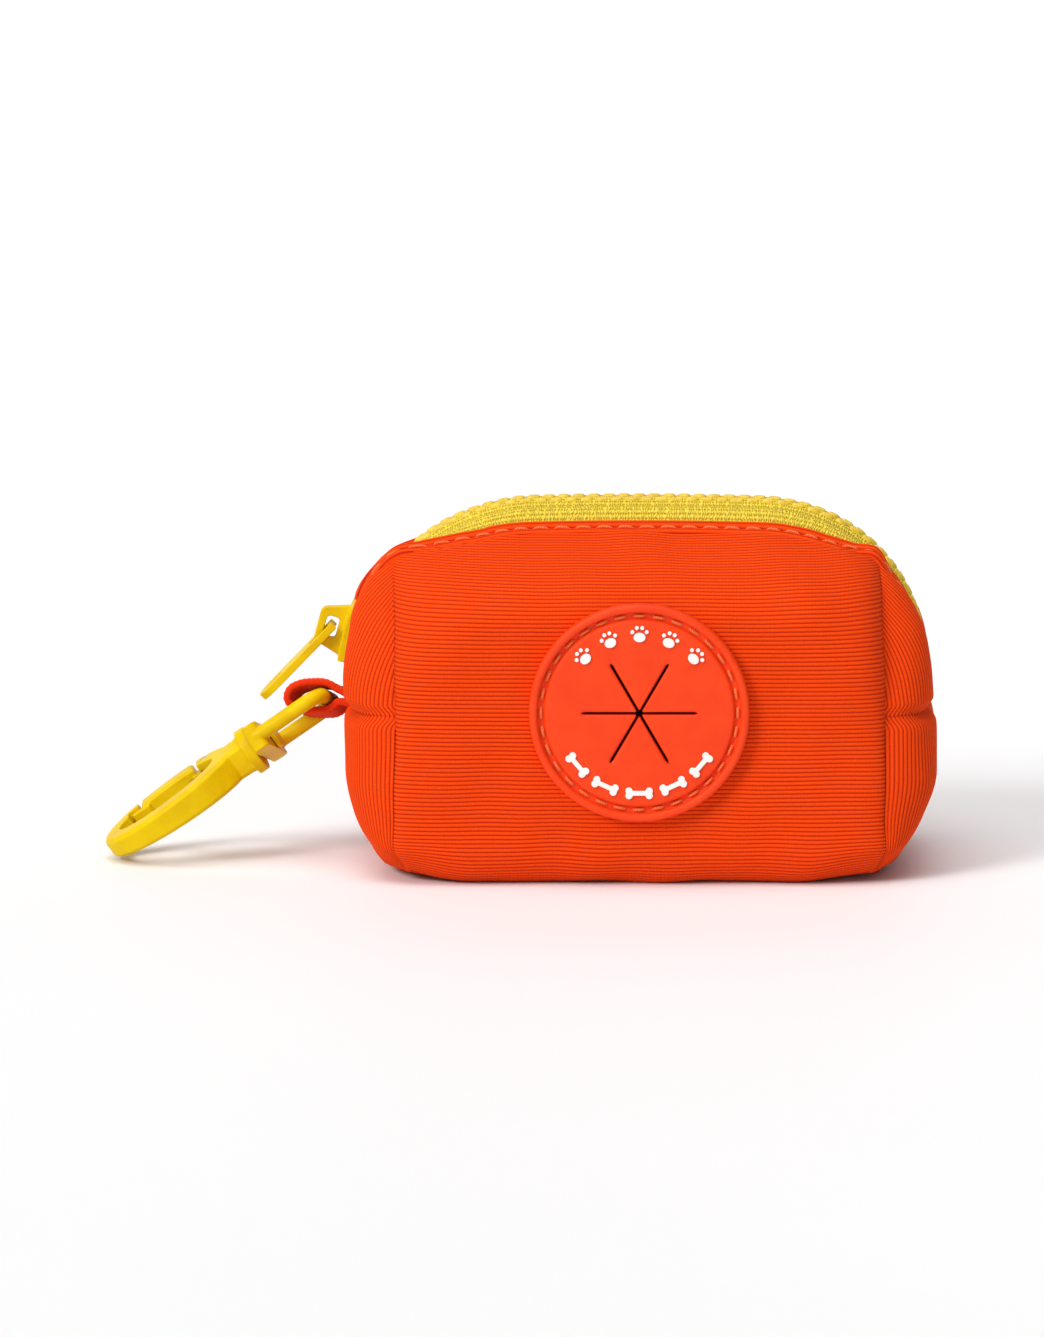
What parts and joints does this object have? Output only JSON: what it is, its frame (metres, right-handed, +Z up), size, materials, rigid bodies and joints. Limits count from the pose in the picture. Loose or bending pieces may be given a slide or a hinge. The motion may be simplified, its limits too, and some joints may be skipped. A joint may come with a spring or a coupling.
{
  "type": "treat pouch",
  "caption": "Small boxed zip pouch in ribbed fabric, with a round silicone dispensing badge on its front and a hang loop carrying a swivel snap hook.",
  "frame": {"origin": "centre of the flat base, on the surface that the pouch stands on", "axes": "+X along the zip, away from the hook; -Y out of the front face with the badge; +Z up"},
  "size_m": [0.141, 0.0514, 0.0624],
  "materials": {
    "shell_fabric": "ribbed knit over thin foam, matt",
    "loop_fabric": "ribbed knit strip, matt",
    "zip_tape": "woven tape, matt",
    "thread": "twisted sewing thread",
    "zip_teeth": "moulded plastic teeth, satin",
    "badge_silicone": "moulded silicone, soft satin",
    "motif": "raised white silicone",
    "painted_zinc": "glossy yellow paint on cast zinc",
    "steel": "plain steel"
  },
  "bodies": {
    "pouch": {"shell": "shell_fabric", "zip_tape_front": "zip_tape", "zip_tape_rear": "zip_tape", "zip_teeth_front": "zip_teeth", "zip_teeth_rear": "zip_teeth", "zip_topstitch_front": "thread", "zip_topstitch_rear": "thread", "badge": "badge_silicone", "badge_stitching": "thread", "emblem_upper": "motif", "emblem_lower": "motif"},
    "slider": {"zip_slider": "painted_zinc"},
    "pull": {"zip_pull": "painted_zinc"},
    "hang_loop": {"hang_loop": "loop_fabric"},
    "swivel_eye": {"swivel_eye": "painted_zinc"},
    "hook": {"hook_body": "painted_zinc", "swivel_rivet": "painted_zinc", "gate_pin": "steel", "gate_spring": "steel"},
    "gate": {"gate": "painted_zinc"},
    "star_flap_1": {"star_flap_1": "badge_silicone"},
    "star_flap_2": {"star_flap_2": "badge_silicone"},
    "star_flap_3": {"star_flap_3": "badge_silicone"},
    "star_flap_4": {"star_flap_4": "badge_silicone"},
    "star_flap_5": {"star_flap_5": "badge_silicone"},
    "star_flap_6": {"star_flap_6": "badge_silicone"}
  },
  "joints": [
    {"name": "slider_travel", "type": "hinge", "parent": "pouch", "child": "slider", "pos_m": [-0.0176, 0, 0.0308], "axis": [0, 1, 0], "range_deg": [0, 62]},
    {"name": "pull_swing", "type": "hinge", "parent": "slider", "child": "pull", "pos_m": [-0.052, 0, 0.04034], "axis": [0, 1, 0], "range_deg": [0, 145]},
    {"name": "loop_flex", "type": "hinge", "parent": "pouch", "child": "hang_loop", "pos_m": [-0.05, 0, 0.0279], "axis": [0, 1, 0], "range_deg": [-12, 13], "stiffness_Nm_per_rad": 0.004, "deforming": ["hang_loop"]},
    {"name": "eye_swing", "type": "hinge", "parent": "hang_loop", "child": "swivel_eye", "pos_m": [-0.05279, 0, 0.02787], "axis": [0.1962, 0.9397, -0.2802], "range_deg": [-18, 21]},
    {"name": "hook_swivel", "type": "hinge", "parent": "swivel_eye", "child": "hook", "pos_m": [-0.0636, 0, 0.0203], "axis": [-0.8192, 0, -0.5736], "continuous": true},
    {"name": "gate_hinge", "type": "hinge", "parent": "hook", "child": "gate", "pos_m": [-0.07255, 0.00538, 0.01461], "axis": [-0.5714, -0.0872, 0.816], "range_deg": [0, 22], "stiffness_Nm_per_rad": 0.02, "springref_deg": -14.32, "deforming": ["gate_spring"]},
    {"name": "flap_1_bend", "type": "hinge", "parent": "pouch", "child": "star_flap_1", "pos_m": [0.00736, -0.0257, 0.03425], "axis": [-0.5, 0, 0.866], "range_deg": [-30, 45], "stiffness_Nm_per_rad": 0.0004},
    {"name": "flap_2_bend", "type": "hinge", "parent": "pouch", "child": "star_flap_2", "pos_m": [0, -0.0257, 0.0385], "axis": [-1, 0, 0], "range_deg": [-30, 45], "stiffness_Nm_per_rad": 0.0004},
    {"name": "flap_3_bend", "type": "hinge", "parent": "pouch", "child": "star_flap_3", "pos_m": [-0.00736, -0.0257, 0.03425], "axis": [-0.5, 0, -0.866], "range_deg": [-30, 45], "stiffness_Nm_per_rad": 0.0004},
    {"name": "flap_4_bend", "type": "hinge", "parent": "pouch", "child": "star_flap_4", "pos_m": [-0.00736, -0.0257, 0.02575], "axis": [0.5, 0, -0.866], "range_deg": [-30, 45], "stiffness_Nm_per_rad": 0.0004},
    {"name": "flap_5_bend", "type": "hinge", "parent": "pouch", "child": "star_flap_5", "pos_m": [0, -0.0257, 0.0215], "axis": [1, 0, 0], "range_deg": [-30, 45], "stiffness_Nm_per_rad": 0.0004},
    {"name": "flap_6_bend", "type": "hinge", "parent": "pouch", "child": "star_flap_6", "pos_m": [0.00736, -0.0257, 0.02575], "axis": [0.5, 0, 0.866], "range_deg": [-30, 45], "stiffness_Nm_per_rad": 0.0004}
  ],
  "couplings": [
    {"joint": "flap_2_bend", "follows": "flap_1_bend", "ratio": 1},
    {"joint": "flap_3_bend", "follows": "flap_1_bend", "ratio": 1},
    {"joint": "flap_4_bend", "follows": "flap_1_bend", "ratio": 1},
    {"joint": "flap_5_bend", "follows": "flap_1_bend", "ratio": 1},
    {"joint": "flap_6_bend", "follows": "flap_1_bend", "ratio": 1}
  ]
}
